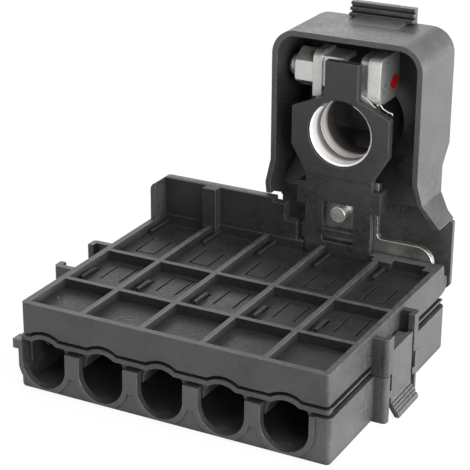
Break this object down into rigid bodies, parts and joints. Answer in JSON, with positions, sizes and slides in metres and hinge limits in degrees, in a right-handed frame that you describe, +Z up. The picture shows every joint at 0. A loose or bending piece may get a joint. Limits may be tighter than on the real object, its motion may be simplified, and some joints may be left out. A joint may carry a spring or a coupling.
{
  "type": "midi fuse block",
  "caption": "Black fuse block with cable ports along one side, a lift-off snap lid, and a clamp for a battery post under a hinged cover.",
  "frame": {"origin": "middle of the lid's flat underside, on which the block stands", "axes": "+X along the row of cable ports, +Y from the cable side to the battery clamp, +Z up from the lid to the ribbed side of the base"},
  "size_m": [0.1066, 0.1009, 0.0918],
  "materials": {
    "base_plastic": "fine moulded texture",
    "insulator_plastic": "fine moulded texture",
    "tin_plate": "satin tin plating on copper alloy",
    "zinc_steel": "bright zinc plating",
    "fuse_plastic": "moulded",
    "window_plastic": "clear"
  },
  "bodies": {
    "base": {"fuse_base": "base_plastic", "clamp_insulator": "insulator_plastic", "busbar": "tin_plate", "battery_clamp": "tin_plate", "clamp_saddle": "tin_plate", "clamp_bolt": "zinc_steel", "clamp_rivet": "zinc_steel", "output_studs": "zinc_steel", "input_studs": "zinc_steel", "output_nuts": "zinc_steel", "input_nuts": "zinc_steel", "fuse_link_1": "tin_plate", "fuse_link_2": "tin_plate", "fuse_link_3": "tin_plate", "fuse_link_4": "tin_plate", "fuse_link_5": "tin_plate", "fuse_housing_1": "fuse_plastic", "fuse_housing_2": "fuse_plastic", "fuse_housing_3": "fuse_plastic", "fuse_housing_4": "fuse_plastic", "fuse_housing_5": "fuse_plastic", "fuse_window_1": "window_plastic", "fuse_window_2": "window_plastic", "fuse_window_3": "window_plastic", "fuse_window_4": "window_plastic", "fuse_window_5": "window_plastic"},
    "lid_body": {"lid": "base_plastic"},
    "right_latch": {"latch_right": "base_plastic"},
    "left_latch": {"latch_left": "base_plastic"},
    "cover": {"terminal_cover": "base_plastic"},
    "nut": {"clamp_nut": "zinc_steel"}
  },
  "joints": [
    {"name": "lid_lift", "type": "slide", "parent": "base", "child": "lid_body", "axis": [0, 0, -1], "range_m": [0, 0.03]},
    {"name": "latch_right_rock", "type": "hinge", "parent": "lid_body", "child": "right_latch", "pos_m": [0.049, -0.0011, 0.00755], "axis": [0, 1, 0], "range_deg": [0, 7], "stiffness_Nm_per_rad": 0.05},
    {"name": "latch_left_rock", "type": "hinge", "parent": "lid_body", "child": "left_latch", "pos_m": [-0.0516, -0.0011, 0.00755], "axis": [0, -1, 0], "range_deg": [0, 7], "stiffness_Nm_per_rad": 0.05},
    {"name": "cover_swing", "type": "hinge", "parent": "base", "child": "cover", "pos_m": [0.0182, 0.0435, 0.0172], "axis": [-1, 0, 0], "range_deg": [0, 80]},
    {"name": "clamp_nut_turn", "type": "hinge", "parent": "base", "child": "nut", "pos_m": [-0.0009, 0.0462, 0.0749], "axis": [1, 0, 0], "continuous": true}
  ]
}
